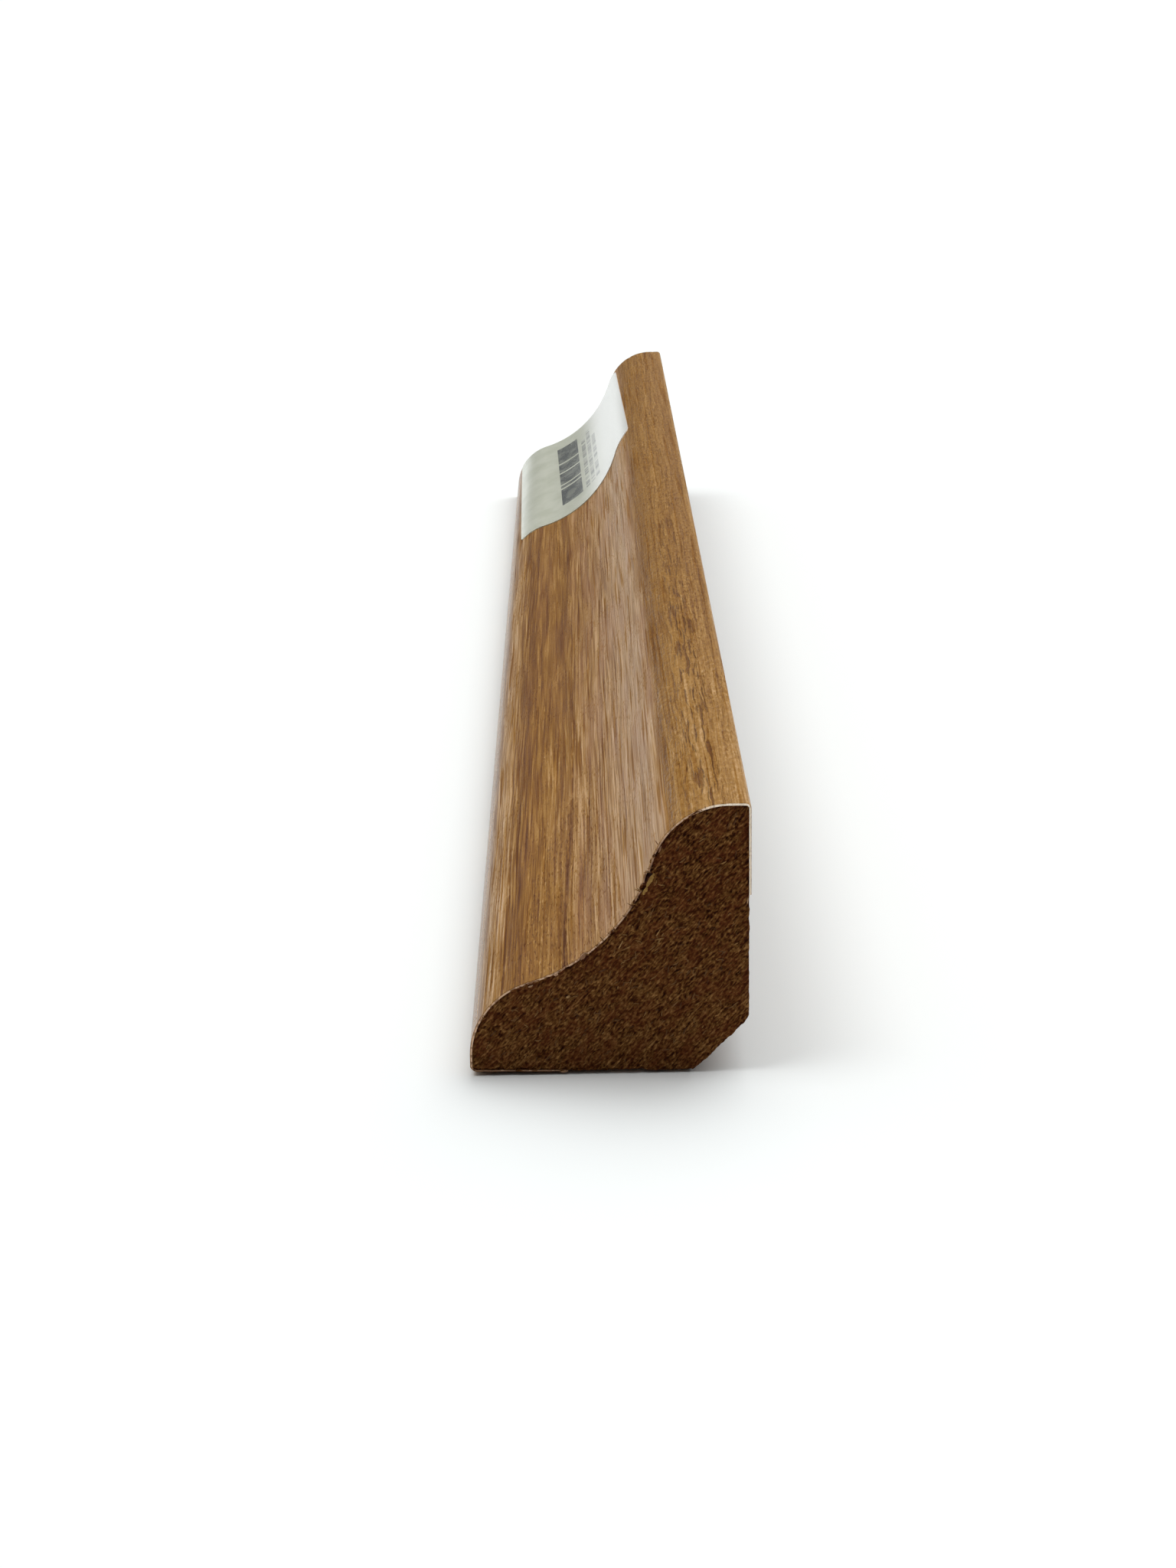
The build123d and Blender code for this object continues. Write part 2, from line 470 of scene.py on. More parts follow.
def core_mesh():
    """The fibreboard bar, with two sawn faces in relief and milled sides between them."""
    outline = core_outline()
    border = nearest(outline, FACE_POINTS)[1]
    count = len(FACE_POINTS)
    ends, depths = [], []
    for end, plane, inward in ((NEAR_END, NEAR_Y, 1), (FAR_END, FAR_Y, -1)):
        places = zip(FACE_POINTS[:, 0], FACE_POINTS[:, 1], FACE_EDGE, FACE_ROUND)
        depth = np.array([saw_depth(*place, end) for place in places])
        places, kept = frayed(outline, border, end)
        depth *= kept
        ends.append(np.stack([places[:, 0], plane + inward * depth, places[:, 1]], 1))
        depths.append(depth)
    steps = np.array(CORE_STEPS)
    first, last = NEAR_Y + CORE_MIDDLE_FROM_END, FAR_Y - CORE_MIDDLE_FROM_END
    middle = np.linspace(first, last, CORE_MIDDLE_RINGS)
    stations = np.concatenate([NEAR_Y + steps, middle, FAR_Y - steps[::-1]])
    rings = [np.stack([outline[:, 0], np.full(len(outline), y), outline[:, 1]], 1) for y in stations]
    numbers = 2 * count + np.arange(len(rings) * len(outline)).reshape(len(rings), -1)
    grid = np.concatenate([[border], numbers, [border + count]])
    sides = quads(np.concatenate([grid, grid[:, :1]], 1))
    near_face = FACE_TRIANGLES.tolist()
    far_face = (count + FACE_TRIANGLES[:, ::-1]).tolist()
    points = lifted(np.concatenate(ends + rings))
    faces = near_face + far_face + sides.tolist()
    mesh = make_mesh("fibreboard", points, faces, sharp_angle=75)
    slots = np.zeros(len(mesh.polygons), np.int32)
    slots[-len(sides):] = 1
    mesh.polygons.foreach_set("material_index", slots)
    depth = np.concatenate(depths + [np.zeros(len(points) - 2 * count)])
    add_number(mesh, "saw_depth", depth / MM)
    return mesh


# Loose fibres and flakes

class Strips:
    """Thin tapering strips in one mesh, each with a colour."""

    def __init__(self):
        self.points = []
        self.faces = []
        self.tints = []

    def add(self, path, across, widths, thickness, tint):
        """A strip along a path, with a width across it at each point of the path."""
        first = len(self.points)
        for k, (place, width) in enumerate(zip(path, widths)):
            ahead = path[min(k + 1, len(path) - 1)] - path[max(k - 1, 0)]
            side = across.normalized() * width / 2
            up = ahead.cross(across).normalized() * thickness / 2
            for corner in (side + up, up - side, -side - up, side - up):
                self.points.append(place + corner)
                self.tints.append(tint)
        for k in range(len(path) - 1):
            ring = first + 4 * k
            for side in range(4):
                after = (side + 1) % 4
                self.faces.append((ring + side, ring + after, ring + 4 + after, ring + 4 + side))
        last = first + 4 * (len(path) - 1)
        self.faces.append((first + 3, first + 2, first + 1, first))
        self.faces.append((last, last + 1, last + 2, last + 3))


def rgb(red, green, blue):
    """A colour given as a picture's 0 to 255 values."""
    def linear(value):
        value /= 255
        return value / 12.92 if value <= 0.04045 else ((value + 0.055) / 1.055)**2.4
    return linear(red), linear(green), linear(blue), 1.0


FIBRE_TINTS = (rgb(126, 90, 50), rgb(104, 70, 36), rgb(150, 112, 64), rgb(84, 52, 26))
FLAKE_YELLOW = rgb(160, 122, 60)
FLAKE_PALE = rgb(198, 158, 124)
FLAKE_BROWN = rgb(150, 110, 82)
FLAKE_THICKNESS = 0.035 * MM
FLAKE_POINTS = 7
FLAKE_DEPTH = 0.05 * MM

# Fibres that lie on the sawn faces, with ranges in millimetres and angles in radians
FIBRES_PER_END = 260
FIBRE_CLEAR_OF_EDGE = 0.6 * MM
FIBRE_SPREAD = 0.5
FIBRE_BEND = 0.12
FIBRE_LENGTHS = (0.2, 0.6)
FIBRE_WIDTHS = (0.04, 0.08)
FIBRE_TAPER = (0.4, 0.9, 1, 1, 0.8, 0.3)

# Whiskers that stand out over the foil's near edge, with ranges in millimetres
WHISKERS = 18
WHISKER_PLACES = (12.5, 26)
WHISKER_LEANS = (-0.3, 0.3)
WHISKER_REACHES = (0.24, 0.512)
WHISKER_BENDS = (-0.08, 0.08)
WHISKER_WIDTHS = (0.035, 0.06)
WHISKER_ROOT = 0.22 * MM
WHISKER_DEPTH = 0.03 * MM
WHISKER_THICKNESS = 0.03 * MM
WHISKER_TAPER = (1, 1, 0.9, 0.8, 0.6, 0.25)

# Flakes at the near end: X, Z, angle in degrees, length, width and lift, in millimetres
FLAKES = (
    (12.3, 13.75, 62, 1.1, 0.28, 0.0, FLAKE_YELLOW),
    (11.95, 13.0, 62, 0.6, 0.26, 0.02, FLAKE_YELLOW),
    (7.75, 8.45, 52, 0.6, 0.24, 0.02, FLAKE_BROWN),
    (5.9, 7.25, 100, 0.34, 0.3, 0.0, FLAKE_PALE),
    (4.2, 6.4, 20, 0.35, 0.12, 0.0, FLAKE_PALE),
    (6.35, 0.22, 8, 0.5, 0.12, 0.0, FLAKE_PALE),
    (12.75, 16.35, 125, 0.4, 0.07, 0.0, FLAKE_BROWN),
    (12.95, 15.9, 70, 0.5, 0.12, 0.02, FLAKE_BROWN),
    (18.75, 12.2, 80, 0.4, 0.08, 0.0, FLAKE_PALE),
    (10.25, 9.2, 62, 0.75, 0.07, 0.0, rgb(190, 146, 92)),
    (12.75, 10.0, 58, 0.7, 0.06, 0.0, rgb(186, 142, 90)),
    (6.7, 5.6, 30, 0.3, 0.16, 0.0, rgb(176, 138, 92)),
)


def add_fibre(strips, chance, end):
    """One fibre that lies on the sawn face."""
    plane, inward = ((NEAR_Y, 1), (FAR_Y, -1))[end]
    start = chance.randrange(len(FACE_POINTS))
    if FACE_EDGE[start] < FIBRE_CLEAR_OF_EDGE:
        return
    angle = FIBRE_SLANT + chance.gauss(0, FIBRE_SPREAD)
    bend = chance.gauss(0, FIBRE_BEND)
    step = chance.uniform(*FIBRE_LENGTHS) * MM / (len(FIBRE_TAPER) - 1)
    width = chance.uniform(*FIBRE_WIDTHS) * MM
    x, z = FACE_POINTS[start]
    path = []
    for _ in FIBRE_TAPER:
        depth = saw_depth(x, z, MM, OFF_FOIL, end) - 0.3 * width
        path.append(Vector((x, plane + inward * max(depth, 0.6 * width), z)))
        x += step * cos(angle)
        z += step * sin(angle)
        angle += bend
    across = Vector((-sin(angle), 0, cos(angle)))
    widths = [width * taper for taper in FIBRE_TAPER]
    strips.add(path, across, widths, 0.7 * width, chance.choice(FIBRE_TINTS))


def add_flake(strips, x, z, degrees_up, length, width, lift, tint):
    """A torn chip of foil or board at the edge of the near end."""
    angle = radians(degrees_up)
    ahead = Vector((cos(angle), 0, sin(angle)))
    across = Vector((-sin(angle), 0, cos(angle)))
    middle = Vector((TOE_X + x * MM, NEAR_Y + FLAKE_DEPTH, z * MM))
    path, widths = [], []
    for k in range(FLAKE_POINTS):
        step = k / (FLAKE_POINTS - 1) - 0.5
        sway = 0.12 * width * ripple(x * 3, z * 3, k * 0.9)
        curl = (lift + 0.1 * abs(step)) * MM
        path.append(middle + ahead * (step * length * MM) + across * (sway * MM) + Vector((0, curl, 0)))
        widths.append(width * MM * (1 - (2 * abs(step))**2.5 * 0.8) * (1 + 0.2 * ripple(x, z, k * 0.7)))
    strips.add(path, across, widths, FLAKE_THICKNESS, tint)


def add_whisker(strips, chance):
    """A short fibre that stands out over the foil's cut edge at the near end."""
    length = chance.uniform(*WHISKER_PLACES) * MM
    lean = chance.uniform(*WHISKER_LEANS) * MM
    reach = chance.uniform(*WHISKER_REACHES) * MM
    bend = chance.uniform(*WHISKER_BENDS) * MM
    path = []
    for step in np.linspace(0, 1, len(WHISKER_TAPER)):
        place = length + lean * step + bend * sin(3 * step)
        x, z = on_section(place, WHISKER_ROOT - reach * step)
        path.append(Vector((x, NEAR_Y + WHISKER_DEPTH * (1 + step), z)))
    ahead = path[-1] - path[0]
    across = Vector((-ahead.z, 0, ahead.x))
    width = chance.uniform(*WHISKER_WIDTHS) * MM
    widths = [width * taper for taper in WHISKER_TAPER]
    strips.add(path, across, widths, WHISKER_THICKNESS, chance.choice(FIBRE_TINTS))


def loose_mesh():
    strips = Strips()
    chance = random.Random(LOOSE_SEED)
    for _ in range(WHISKERS):
        add_whisker(strips, chance)
    for end in (NEAR_END, FAR_END):
        for _ in range(FIBRES_PER_END):
            add_fibre(strips, chance, end)
    for flake in FLAKES:
        add_flake(strips, *flake)
    mesh = make_mesh("loose_fibres", [tuple(p) for p in strips.points], strips.faces)
    add_vector(mesh, "tint", [tint[:3] for tint in strips.tints])
    return mesh


# Shader helper

class Shader:
    """Adds nodes. An input may be a number, a colour or another node's output. Lengths are mm."""

    def __init__(self, tree):
        self.tree = tree
        tree.nodes.clear()

    def node(self, kind, inputs=None, **settings):
        made = self.tree.nodes.new(kind)
        for name, value in settings.items():
            setattr(made, name, value)
        for name, value in (inputs or {}).items():
            self.feed(made.inputs[name], value)
        return made

    def feed(self, socket, value):
        if isinstance(value, bpy.types.NodeSocket):
            self.tree.links.new(value, socket)
        else:
            socket.default_value = value

    def math(self, operation, *values):
        return self.node("ShaderNodeMath", dict(enumerate(values)), operation=operation).outputs[0]

    def add(self, *values):
        total = values[0]
        for value in values[1:]:
            total = self.math("ADD", total, value)
        return total

    def times(self, *values):
        total = values[0]
        for value in values[1:]:
            total = self.math("MULTIPLY", total, value)
        return total

    def plus(self, base, value, factor):
        """A base and so many times a value."""
        return self.math("MULTIPLY_ADD", value, factor, base)

    def sway(self, noise_value, reach):
        """Noise about its middle, scaled to a reach."""
        return self.plus(-0.5 * reach, noise_value, float(reach))

    def mix(self, amount, first, second):
        """Mixes two colours."""
        made = self.node("ShaderNodeMix", data_type="RGBA")
        for index, value in ((0, amount), (6, first), (7, second)):
            self.feed(made.inputs[index], value)
        return made.outputs[2]

    def ramp(self, value, low, high, to_low=0.0, to_high=1.0):
        """A smooth step from one value to another."""
        inputs = {"Value": value, "From Min": low, "From Max": high, "To Min": to_low, "To Max": to_high}
        return self.node("ShaderNodeMapRange", inputs, interpolation_type="SMOOTHSTEP").outputs[0]

    def between(self, value, start, end, blend):
        """1 between start and end, and 0 outside them."""
        rise = self.ramp(value, start - blend / 2, start + blend / 2)
        fall = self.ramp(value, end - blend / 2, end + blend / 2, 1.0, 0.0)
        return self.times(rise, fall)

    def colours(self, value, *stops):
        """A run of colours, each given with its place from 0 to 1."""
        made = self.node("ShaderNodeValToRGB", {"Fac": value})
        band = made.color_ramp
        band.elements[0].position, band.elements[0].color = stops[0]
        band.elements[1].position, band.elements[1].color = stops[-1]
        for place, colour in stops[1:-1]:
            band.elements.new(place).color = colour
        return made.outputs[0]

    def split(self, vector):
        return self.node("ShaderNodeSeparateXYZ", {"Vector": vector}).outputs

    def attribute(self, name, kind="Vector"):
        return self.node("ShaderNodeAttribute", attribute_name=name).outputs[kind]

    def object_place(self, turn=0.0):
        """Object coordinates in millimetres, turned about Y."""
        place = self.node("ShaderNodeTexCoord").outputs["Object"]
        inputs = {"Vector": place, "Rotation": (0.0, turn, 0.0), "Scale": (1 / MM, 1 / MM, 1 / MM)}
        return self.split(self.node("ShaderNodeMapping", inputs).outputs[0])

    def grain(self, x, y, width, length, seed, detail=2.0, roughness=0.5, distortion=0.0):
        """Noise from 0 to 1 whose grains have a width along x and a length along y."""
        place = self.node("ShaderNodeCombineXYZ", {
            "X": self.math("DIVIDE", x, float(width)),
            "Y": self.math("DIVIDE", y, float(length)),
            "Z": float(seed),
        })
        inputs = {"Vector": place.outputs[0], "Scale": 1.0, "Detail": detail,
                  "Roughness": roughness, "Distortion": distortion}
        return self.node("ShaderNodeTexNoise", inputs).outputs["Fac"]

    def bump(self, height, distance):
        return self.node("ShaderNodeBump", {"Height": height, "Distance": distance * MM}).outputs[0]

    def surface(self, inputs):
        body = self.node("ShaderNodeBsdfPrincipled", inputs)
        self.node("ShaderNodeOutputMaterial", {"Surface": body.outputs[0]})


def new_material(name):
    material = bpy.data.materials.new(name)
    material.use_nodes = True
    return material, Shader(material.node_tree)


# Foil print

WOOD_STOPS = (
    (0.0, rgb(84, 42, 0)), (0.3, rgb(114, 69, 4)), (0.5, rgb(141, 94, 22)),
    (0.7, rgb(170, 124, 56)), (1.0, rgb(212, 170, 118)),
)
WOOD_PINK = rgb(174, 128, 96)
PAPER_WHITE = rgb(252, 236, 214)
PAPER_TAN = rgb(226, 186, 152)
PAPER_DULL = rgb(140, 100, 72)
# The outer half of the lap's cut edge: painted shade that deepens the gap under the near end
PAINTED_GAP_SHADE = rgb(52, 30, 16)
TOE_ROUGHNESS = 0.24
FOIL_ROUGHNESS = 0.42
FOIL_EMBOSS = 0.06
FOIL_IOR = 1.3

# How softly the bands and streaks of the print begin and end, in millimetres
BAND_BLEND = 0.35
STREAK_BLEND = 5.0

# Parts of the print: start and end round the bar, and how softly each begins and ends
LOWER_NOSE_SIDE = (4.5, 8.0, 1.0)
HOLLOW_FOOT = (8.0, 14.0, 1.0)
HOLLOW_SIDE = (11.6, 18.0, 1.0)
UPPER_NOSE = (23.3, 29.4, 0.8)
GROOVED_CREST = (25.5, 27.4, 0.8)

# Bands of the print, and two of painted light: start and end round the bar, and how much lighter each is
BANDS = (
    # The first band, on the lap under the toe, is painted shade that keeps the gap under the near end
    # dark
    (-9.0, -0.6, -0.35), (-0.6, 4.5, 0.0), (4.5, 6.35, 0.15), (6.35, 7.1, -0.04), (7.1, 8.1, -0.11),
    (12.0, 14.0, 0.1), (14.0, 17.9, 0.17), (17.9, 22.6, 0.23), (22.6, 22.9, 0.16),
    # The last band, round the top corner, is partly worn paper and partly a painted highlight
    (22.9, 23.9, 0.07), (23.9, 27.2, 0.13), (27.2, 36.0, 0.16), (29.0, 29.8, 0.14),
)

# Strong dark streaks: length round, slope, start and end along the bar, half width, darkness
STREAKS = (
    (6.6, 0.0, -3, 34, 0.14, 0.26), (8.25, 0.002, -3, 46, 0.05, 0.18), (5.4, 0.0, 6, 24, 0.05, 0.18),
    (7.5, 0.0, -3, 26, 0.05, 0.16), (9.15, 0.0, -3, 40, 0.05, 0.16), (10.45, 0.0, 12, 34, 0.06, 0.14),
    (11.25, 0.015, -3, 60, 0.1, 0.34), (12.75, 0.008, 2, 18, 0.07, 0.34),
    (13.2, 0.01, 21, 35, 0.08, 0.34), (11.9, 0.0, -3, 90, 0.06, 0.14), (15.7, 0.0, 4, 22, 0.05, 0.14),
    (18.1, 0.01, 22, 38, 0.12, 0.14), (22.4, 0.0, 30, 48, 0.1, 0.2), (25.3, 0.0, 4, 12, 0.1, 0.18),
    (26.7, 0.0, -3, 14, 0.06, 0.2), (27.1, 0.006, 6, 40, 0.05, 0.18), (24.6, -0.004, 12, 46, 0.05, 0.14),
)

# The arched figure in the hollow, and how far the grooves are moved along the bar
ARCH_CENTRE = 12.15
ARCH_TIP = 38.0
ARCH_NARROWING = 1.6
GROOVE_SHIFT = 14.0


def strong_streaks(sh, s, y):
    """How dark the strong streaks make each place."""
    breaks = sh.ramp(sh.grain(s, y, 0.7, 3.5, 31, detail=2.0), 0.34, 0.55)
    total = 0.0
    for centre, slope, start, end, half_width, darkness in STREAKS:
        middle = sh.plus(centre, y, slope)
        away = sh.math("ABSOLUTE", sh.math("SUBTRACT", s, middle))
        line = sh.ramp(away, 0.5 * half_width, 1.5 * half_width, darkness, 0.0)
        reach = sh.between(y, float(start), float(end), STREAK_BLEND)
        total = sh.math("MAXIMUM", total, sh.times(line, reach))
    return sh.times(total, breaks)


def bands(sh, s):
    """How much lighter the bands are than the rest: mostly print, with painted shade on the lap, and worn
    paper with a painted highlight at the top corner.
    """
    total = 0.0
    for start, end, lighter in BANDS:
        total = sh.add(total, sh.times(sh.between(s, start, end, BAND_BLEND), lighter))
    return total


def paper_edge(sh, s, y, depth):
    """The foil's cut edge: white at the top and back, pale and broken low down, dull between.

    On the lap under the toe only its inner half is pale; its outer half is painted shade, as dark as the
    gap under the near end."""
    pale = sh.math("MAXIMUM", sh.ramp(s, 21.4, 23.4), sh.ramp(s, 15.0, 18.0, 1.0, 0.35))
    level = sh.plus(sh.grain(s, y, 0.4, 0.4, 12, detail=3.0), sh.ramp(s, -0.3, 1.2), 0.12)
    broken = sh.ramp(level, 0.53, 0.62)
    white = sh.mix(sh.ramp(s, 25.0, 27.4), PAPER_TAN, PAPER_WHITE)
    kept = sh.math("MAXIMUM", broken, sh.ramp(s, 22.4, 26.0, 0.3, 1.0))
    colour = sh.mix(sh.times(pale, kept), PAPER_DULL, white)
    # Painted shade on the outer half of the lap's cut edge
    outer = sh.times(sh.ramp(depth, 0.07, 0.09, 1.0, 0.0), sh.ramp(s, -0.2, 0.5, 1.0, 0.0))
    return sh.mix(outer, colour, PAINTED_GAP_SHADE)


def foil_material():
    """Printed wood grain: streaks, an arched figure, pores, and a crinkled embossing."""
    material, sh = new_material("wood_grain_foil")
    s, y, depth = sh.split(sh.attribute("wrap"))
    y = sh.add(y, -NEAR_Y / MM)
    s_near = sh.add(s, sh.sway(sh.grain(s, y, 2.5, 26, 2, detail=2.0), 0.5))
    s_far = sh.add(s_near, sh.sway(sh.grain(s, y, 9, 70, 1, detail=1.0), 3.0))
    upper = sh.between(s, *UPPER_NOSE)

    # Arched figure
    arch = sh.math("SUBTRACT", s, ARCH_CENTRE)
    arch = sh.add(y, sh.times(arch, arch, ARCH_NARROWING), sh.sway(sh.grain(s, y, 0.6, 3, 30), 5.0))
    in_arch = sh.ramp(arch, ARCH_TIP - 1.5, ARCH_TIP + 0.5, 1.0, 0.0)
    arch_rim = sh.between(arch, ARCH_TIP - 1.2, ARCH_TIP + 0.4, 1.4)

    # Streaks, lines and pores
    tone = sh.sway(sh.grain(s_far, y, 2.6, 240, 3, detail=2.0), 0.35)
    streak = sh.sway(sh.grain(s_far, y, 0.7, 60, 4, detail=3.0, roughness=0.6), 0.55)
    line = sh.sway(sh.grain(s_near, y, 0.3, 26, 5, detail=3.0, roughness=0.7), 0.9)
    hair = sh.sway(sh.grain(s_near, y, 0.15, 12, 6, detail=2.0, roughness=0.6), 1.1)
    bold = sh.plus(1.0, sh.between(s, *LOWER_NOSE_SIDE), 0.35)
    hair = sh.times(hair, bold, sh.ramp(y, 40.0, 110.0, 1.0, 0.65))
    dark_line = sh.ramp(sh.grain(s_near, y, 0.36, 20, 32, detail=1.0), 0.58, 0.64)
    pale_line = sh.ramp(sh.grain(s_near, y, 0.36, 14, 33, detail=1.0), 0.58, 0.64)
    patch = sh.ramp(sh.grain(s, y, 2.2, 9, 9, detail=2.0), 0.38, 0.62)
    crowd = sh.math("MAXIMUM", sh.times(patch, 0.7), in_arch)
    pore = sh.times(sh.ramp(sh.grain(s_near, y, 0.13, 1.2, 7, detail=1.0), 0.58, 0.68), crowd)
    fleck = sh.times(sh.ramp(sh.grain(s_near, y, 0.14, 0.9, 8, detail=1.0), 0.58, 0.7), crowd)
    dark = strong_streaks(sh, s_near, y)

    # Where the lines are stronger, and where the colour darkens along the bar
    strength = sh.plus(sh.plus(1.0, upper, -0.45), sh.between(s, *HOLLOW_SIDE), 0.35)
    deeper = sh.times(sh.ramp(y, 30.0, 100.0), sh.between(s, *HOLLOW_FOOT))
    deeper = sh.add(deeper, sh.times(sh.ramp(y, 5.0, 60.0, -0.4, 1.5), upper))

    shade = sh.add(0.5, bands(sh, s), tone, sh.times(sh.add(streak, line, hair), strength))
    shade = sh.add(shade, sh.times(fleck, 0.2), sh.times(pore, -0.2), sh.times(arch_rim, 0.08))
    shade = sh.add(shade, sh.times(dark_line, strength, -0.15), sh.times(pale_line, strength, 0.13))
    shade = sh.add(shade, sh.times(dark, -1.0), sh.times(deeper, -0.06))

    # Crinkles and grooves, darker where they dip: ink in the grooves, and in the crinkles partly ink and
    # partly painted shade for the embossing
    crinkle = sh.grain(s, y, 0.3, 0.8, 11, detail=2.0, roughness=0.55, distortion=0.6)
    shifted = sh.add(y, GROOVE_SHIFT)
    vein = sh.add(s_near, sh.sway(sh.grain(s, shifted, 1.6, 5, 35, detail=2.0), 0.6))
    groove = sh.ramp(sh.grain(vein, shifted, 0.22, 6, 34, detail=1.0), 0.54, 0.63)
    grooved = sh.add(sh.times(upper, 0.35), sh.times(sh.between(s, *GROOVED_CREST), 0.75))
    groove = sh.times(groove, grooved, sh.ramp(y, 40.0, 90.0, 1.0, 0.4))
    shade = sh.add(shade, sh.times(groove, -0.26), sh.times(sh.sway(crinkle, 0.5), upper))

    colour = sh.colours(shade, *WOOD_STOPS)
    pink = sh.ramp(sh.grain(s_far, y, 1.6, 22, 10, detail=2.0), 0.42, 0.66, 0.12, 0.4)
    pink = sh.times(pink, sh.ramp(s, 11.0, 13.0, 0.3, 1.0), sh.math("SUBTRACT", 1.0, upper))
    colour = sh.mix(pink, colour, WOOD_PINK)
    colour = sh.mix(sh.ramp(depth, 0.03, 0.05), colour, paper_edge(sh, s, y, depth))

    # Relief and roughness
    wrinkle = sh.times(sh.sway(crinkle, 1.0), sh.plus(0.5, upper, 1.6))
    furrow = sh.add(sh.times(line, 0.5), sh.times(hair, 0.5), sh.times(streak, 0.4))
    dents = sh.add(sh.times(pore, 0.5), sh.times(dark, 1.2), sh.times(groove, 1.2))
    dents = sh.add(dents, sh.times(dark_line, 0.3))
    height = sh.math("SUBTRACT", sh.add(wrinkle, furrow), dents)
    matt = sh.add(sh.times(dark_line, 0.3), sh.times(dark, 1.2), sh.times(pore, 0.3))
    matt = sh.times(sh.add(matt, sh.times(hair, -0.5)), sh.ramp(s, 3.6, 5.2))
    even = sh.ramp(s, 3.2, 4.9, TOE_ROUGHNESS, FOIL_ROUGHNESS)
    rough = sh.add(even, matt, sh.sway(crinkle, 0.12))
    sh.surface({"Base Color": colour, "Roughness": rough, "Normal": sh.bump(height, FOIL_EMBOSS),
                "IOR": FOIL_IOR})
    return material


# Fibreboard materials

SAWN_STOPS = (
    (0.0, rgb(34, 5, 0)), (0.3, rgb(68, 30, 7)), (0.5, rgb(96, 58, 23)),
    (0.7, rgb(117, 79, 39)), (1.0, rgb(156, 113, 67)),
)
SAWN_RED = rgb(94, 42, 17)
SAWN_ROUGHNESS = 0.9
SAWN_SPECULAR = 0.1
SAWN_EMBOSS = 0.08

# Painted shade darkens the deeper places; pits deeper than this, in millimetres, get no darker
PIT_SHADE_LIMIT = 0.26


def sawn_material():
    """Sawn fibreboard: matted strands and golden fibres, with reddish pits darkened by painted shade."""
    material, sh = new_material("fibreboard_sawn")
    depth = sh.attribute("saw_depth", "Fac")
    upright = sh.object_place()[2]
    x, _, z = sh.object_place(FIBRE_SLANT)
    mottle = sh.sway(sh.grain(x, z, 2.4, 1.5, 13, detail=4.0), 0.33)
    strand = sh.grain(x, z, 0.52, 0.15, 14, detail=2.0, roughness=0.6, distortion=0.5)
    speck = sh.grain(x, z, 0.26, 0.12, 15, detail=1.0)
    # Painted shade: the deeper a place lies, the darker it is painted
    pit_shade = sh.math("SUBTRACT", sh.math("MINIMUM", depth, PIT_SHADE_LIMIT), MEAN_RELIEF * SAW_RELIEF / MM)
    shade = sh.add(0.52, mottle, sh.sway(strand, 1.5), sh.sway(speck, 1.1), sh.times(pit_shade, -1.8))
    # Lighter low down and darker towards the top
    shade = sh.add(shade, sh.ramp(upright, 0.0, 18.0, 0.03, -0.06))
    colour = sh.colours(shade, *SAWN_STOPS)
    red = sh.ramp(sh.grain(x, z, 1.7, 1.0, 16, detail=4.0), 0.42, 0.62, 0.0, 0.4)
    colour = sh.mix(red, colour, SAWN_RED)
    height = sh.add(strand, speck)
    sh.surface({"Base Color": colour, "Roughness": SAWN_ROUGHNESS,
                "Normal": sh.bump(height, SAWN_EMBOSS), "Specular IOR Level": SAWN_SPECULAR})
    return material


MILLED_STOPS = (
    (0.0, rgb(60, 34, 16)), (0.35, rgb(88, 56, 29)), (0.55, rgb(106, 70, 38)),
    (0.75, rgb(126, 88, 52)), (1.0, rgb(168, 130, 88)),
)
MILLED_ROUGHNESS = 0.72
MILLED_SPECULAR = 0.3
MILLED_EMBOSS = 0.03


def milled_material():
    """Milled fibreboard on the bare back, heel and underside, with faint cutter lines."""
    material, sh = new_material("fibreboard_milled")
    x, y, z = sh.object_place()
    level = sh.add(x, z)
    mottle = sh.sway(sh.grain(level, y, 1.8, 2.6, 17, detail=4.0), 0.5)
    strand = sh.grain(level, y, 0.2, 0.7, 18, detail=2.0, roughness=0.6, distortion=0.6)
    cutter = sh.grain(level, y, 0.3, 60, 19, detail=2.0)
    chatter = sh.grain(y, level, 0.7, 40, 36, detail=1.0)
    patches = sh.sway(sh.grain(level, y, 5, 18, 20, detail=2.0), 0.3)
    shade = sh.add(0.5, mottle, patches, sh.sway(strand, 1.3))
    shade = sh.add(shade, sh.sway(cutter, 0.35), sh.sway(chatter, 0.25))
    height = sh.add(cutter, sh.times(strand, 0.6), chatter)
    sh.surface({"Base Color": sh.colours(shade, *MILLED_STOPS), "Roughness": MILLED_ROUGHNESS,
                "Normal": sh.bump(height, MILLED_EMBOSS), "Specular IOR Level": MILLED_SPECULAR})
    return material


FIBRE_WORN = rgb(96, 62, 34)
FIBRE_ROUGHNESS = 0.75
FIBRE_SPECULAR = 0.25


def fibre_material():
    material, sh = new_material("loose_fibre")
    x, _, z = sh.object_place()
    worn = sh.ramp(sh.grain(x, z, 0.2, 0.2, 21, detail=2.0), 0.3, 0.7, 0.0, 0.45)
    colour = sh.mix(worn, sh.attribute("tint"), FIBRE_WORN)
    sh.surface({"Base Color": colour, "Roughness": FIBRE_ROUGHNESS, "Specular IOR Level": FIBRE_SPECULAR})
    return material


# Sticker material

STICKER_WHITE = rgb(222, 225, 208)
STICKER_SHADE = rgb(208, 211, 192)
# Whiter paper on the steep part, partly a painted sheen of the white table
STICKER_PALE_SHEEN = rgb(240, 241, 236)
STICKER_INK = rgb(66, 72, 78)
STICKER_ROUGHNESS = 0.2
STICKER_EMBOSS = 0.006
STICKER_IOR = 1.5

